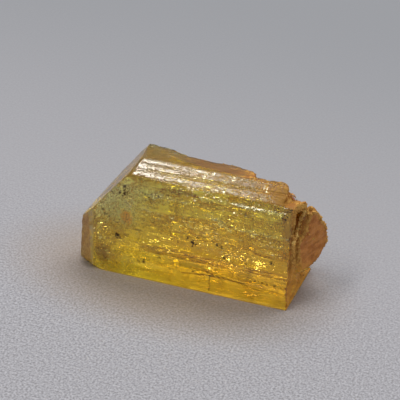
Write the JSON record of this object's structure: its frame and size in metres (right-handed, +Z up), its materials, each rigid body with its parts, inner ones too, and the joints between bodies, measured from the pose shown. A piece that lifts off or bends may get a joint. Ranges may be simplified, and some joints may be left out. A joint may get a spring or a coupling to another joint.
{
  "type": "topaz crystal",
  "caption": "Golden topaz crystal lying on its side: a striated prism with a slanted bevelled end and a stepped, broken end.",
  "frame": {"origin": "middle of the bounding box's bottom, on the surface that the crystal rests on", "axes": "+X along the crystal's length, towards its broken end; -Y out of the large front prism face; +Z up from the resting face"},
  "size_m": [0.0314, 0.011, 0.0163],
  "materials": {
    "topaz": "clear golden topaz, greenish yellow at the slanted end and orange by the resting face, with glassy striated prism faces and rough, hackly breaks"
  },
  "bodies": {
    "root": {"crystal": "topaz"}
  },
  "joints": []
}
